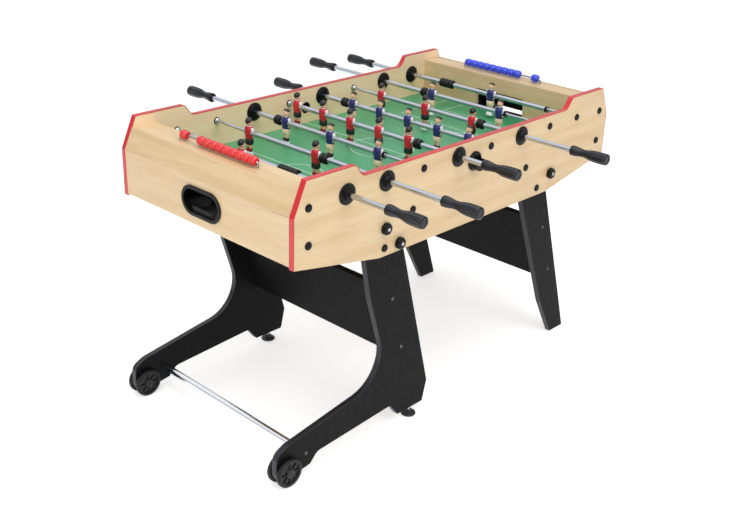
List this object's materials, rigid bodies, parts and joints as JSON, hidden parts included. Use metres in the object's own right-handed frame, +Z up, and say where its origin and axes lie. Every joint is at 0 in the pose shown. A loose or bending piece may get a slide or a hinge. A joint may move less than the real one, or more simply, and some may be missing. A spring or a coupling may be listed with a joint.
{
  "type": "foosball table",
  "caption": "Folding table football game: wood cabinet with green field, player rods with handles, bead scorers, black folding legs, wheels and a foot rail.",
  "frame": {"origin": "middle of the whole table's box, on the floor it stands on", "axes": "+X along the table from the wheeled end to the far end, +Y across to the back long side, +Z up"},
  "size_m": [1.248, 1.191, 0.763],
  "materials": {
    "maple_laminate": "satin",
    "red_edge": "gloss",
    "green_field": "matte",
    "black_plastic": "satin",
    "chrome": "polished",
    "red_plastic": "gloss",
    "blue_plastic": "gloss",
    "black_board": "satin",
    "zinc": "satin",
    "wheel_plastic": "satin",
    "leveler_plastic": "satin",
    "black_rubber": "matte",
    "grip_plastic": "gloss",
    "red_player": "gloss",
    "blue_player": "gloss"
  },
  "bodies": {
    "base": {"near_legs": "black_board", "near_cross_panel": "black_board", "foot_rail": "chrome", "leg_screws": "zinc"},
    "wheels_front": {"wheels_front": "wheel_plastic"},
    "wheels_back": {"wheels_back": "wheel_plastic"},
    "leveler_front": {"leveler_front": "leveler_plastic"},
    "leveler_back": {"leveler_back": "leveler_plastic"},
    "cabinet": {"side_panel_front": "maple_laminate", "side_panel_back": "maple_laminate", "edge_trims": "red_edge", "end_boards": "maple_laminate", "goal_walls": "maple_laminate", "playfield": "green_field", "return_cups": "black_plastic", "entry_cups": "black_plastic", "rod_bearings": "black_plastic", "guide_rods": "chrome", "panel_bolts": "black_plastic", "leg_bolts": "black_plastic", "scorer_wires": "chrome", "beads_red": "red_plastic", "beads_blue": "blue_plastic"},
    "bead_red": {"bead_red_scored": "red_plastic"},
    "bead_blue": {"bead_blue_scored": "blue_plastic"},
    "far_legs": {"far_legs": "black_board", "far_cross_panel": "black_board", "far_leg_screws": "zinc"},
    "rod_1_slide": {"rod_1_bumper": "black_rubber"},
    "rod_1": {"rod_1_tube": "chrome", "rod_1_players": "red_player", "rod_1_grip": "grip_plastic"},
    "rod_2_slide": {"rod_2_bumper": "black_rubber"},
    "rod_2": {"rod_2_tube": "chrome", "rod_2_players": "red_player", "rod_2_grip": "grip_plastic"},
    "rod_3_slide": {"rod_3_bumper": "black_rubber"},
    "rod_3": {"rod_3_tube": "chrome", "rod_3_players": "blue_player", "rod_3_grip": "grip_plastic"},
    "rod_4_slide": {"rod_4_bumper": "black_rubber"},
    "rod_4": {"rod_4_tube": "chrome", "rod_4_players": "red_player", "rod_4_grip": "grip_plastic"},
    "rod_5_slide": {"rod_5_bumper": "black_rubber"},
    "rod_5": {"rod_5_tube": "chrome", "rod_5_players": "blue_player", "rod_5_grip": "grip_plastic"},
    "rod_6_slide": {"rod_6_bumper": "black_rubber"},
    "rod_6": {"rod_6_tube": "chrome", "rod_6_players": "red_player", "rod_6_grip": "grip_plastic"},
    "rod_7_slide": {"rod_7_bumper": "black_rubber"},
    "rod_7": {"rod_7_tube": "chrome", "rod_7_players": "blue_player", "rod_7_grip": "grip_plastic"},
    "rod_8_slide": {"rod_8_bumper": "black_rubber"},
    "rod_8": {"rod_8_tube": "chrome", "rod_8_players": "blue_player", "rod_8_grip": "grip_plastic"}
  },
  "joints": [
    {"name": "cabinet_tilt", "type": "hinge", "parent": "base", "child": "cabinet", "pos_m": [-0.304, -0.014, 0.535], "axis": [0, -1, 0], "range_deg": [0, 90]},
    {"name": "far_leg_fold", "type": "hinge", "parent": "cabinet", "child": "far_legs", "pos_m": [0.301, -0.014, 0.535], "axis": [0, 1, 0], "range_deg": [0, 112]},
    {"name": "wheel_spin_front", "type": "hinge", "parent": "base", "child": "wheels_front", "pos_m": [-0.587, -0.294, 0.037], "axis": [0, 1, 0], "continuous": true},
    {"name": "leveler_screw_front", "type": "slide", "parent": "base", "child": "leveler_front", "axis": [0, 0, -1], "range_m": [0, 0.012]},
    {"name": "wheel_spin_back", "type": "hinge", "parent": "base", "child": "wheels_back", "pos_m": [-0.587, 0.266, 0.037], "axis": [0, 1, 0], "continuous": true},
    {"name": "leveler_screw_back", "type": "slide", "parent": "base", "child": "leveler_back", "axis": [0, 0, -1], "range_m": [0, 0.012]},
    {"name": "red_bead_slide", "type": "slide", "parent": "cabinet", "child": "bead_red", "axis": [0, -1, 0], "range_m": [0, 0.0408]},
    {"name": "blue_bead_slide", "type": "slide", "parent": "cabinet", "child": "bead_blue", "axis": [0, 1, 0], "range_m": [0, 0.0408]},
    {"name": "rod_1_push", "type": "slide", "parent": "cabinet", "child": "rod_1_slide", "axis": [0, -1, 0], "range_m": [-0.04, 0.135]},
    {"name": "rod_1_spin", "type": "hinge", "parent": "rod_1_slide", "child": "rod_1", "pos_m": [-0.433, -0.014, 0.702], "axis": [0, 1, 0], "continuous": true},
    {"name": "rod_2_push", "type": "slide", "parent": "cabinet", "child": "rod_2_slide", "axis": [0, -1, 0], "range_m": [-0.107, 0.169]},
    {"name": "rod_2_spin", "type": "hinge", "parent": "rod_2_slide", "child": "rod_2", "pos_m": [-0.305, -0.014, 0.702], "axis": [0, 1, 0], "continuous": true},
    {"name": "rod_3_push", "type": "slide", "parent": "cabinet", "child": "rod_3_slide", "axis": [0, 1, 0], "range_m": [-0.098, 0.083]},
    {"name": "rod_3_spin", "type": "hinge", "parent": "rod_3_slide", "child": "rod_3", "pos_m": [-0.177, -0.014, 0.702], "axis": [0, 1, 0], "continuous": true},
    {"name": "rod_4_push", "type": "slide", "parent": "cabinet", "child": "rod_4_slide", "axis": [0, -1, 0], "range_m": [-0.006, 0.098]},
    {"name": "rod_4_spin", "type": "hinge", "parent": "rod_4_slide", "child": "rod_4", "pos_m": [-0.049, -0.014, 0.702], "axis": [0, 1, 0], "continuous": true},
    {"name": "rod_5_push", "type": "slide", "parent": "cabinet", "child": "rod_5_slide", "axis": [0, 1, 0], "range_m": [-0.014, 0.077]},
    {"name": "rod_5_spin", "type": "hinge", "parent": "rod_5_slide", "child": "rod_5", "pos_m": [0.079, -0.014, 0.702], "axis": [0, 1, 0], "continuous": true},
    {"name": "rod_6_push", "type": "slide", "parent": "cabinet", "child": "rod_6_slide", "axis": [0, -1, 0], "range_m": [-0.09, 0.1]},
    {"name": "rod_6_spin", "type": "hinge", "parent": "rod_6_slide", "child": "rod_6", "pos_m": [0.207, -0.014, 0.702], "axis": [0, 1, 0], "continuous": true},
    {"name": "rod_7_push", "type": "slide", "parent": "cabinet", "child": "rod_7_slide", "axis": [0, 1, 0], "range_m": [-0.118, 0.15]},
    {"name": "rod_7_spin", "type": "hinge", "parent": "rod_7_slide", "child": "rod_7", "pos_m": [0.335, -0.014, 0.702], "axis": [0, 1, 0], "continuous": true},
    {"name": "rod_8_push", "type": "slide", "parent": "cabinet", "child": "rod_8_slide", "axis": [0, 1, 0], "range_m": [-0.071, 0.114]},
    {"name": "rod_8_spin", "type": "hinge", "parent": "rod_8_slide", "child": "rod_8", "pos_m": [0.463, -0.014, 0.702], "axis": [0, 1, 0], "continuous": true}
  ],
  "couplings": [
    {"joint": "far_leg_fold", "follows": "cabinet_tilt", "ratio": 1.2444}
  ]
}
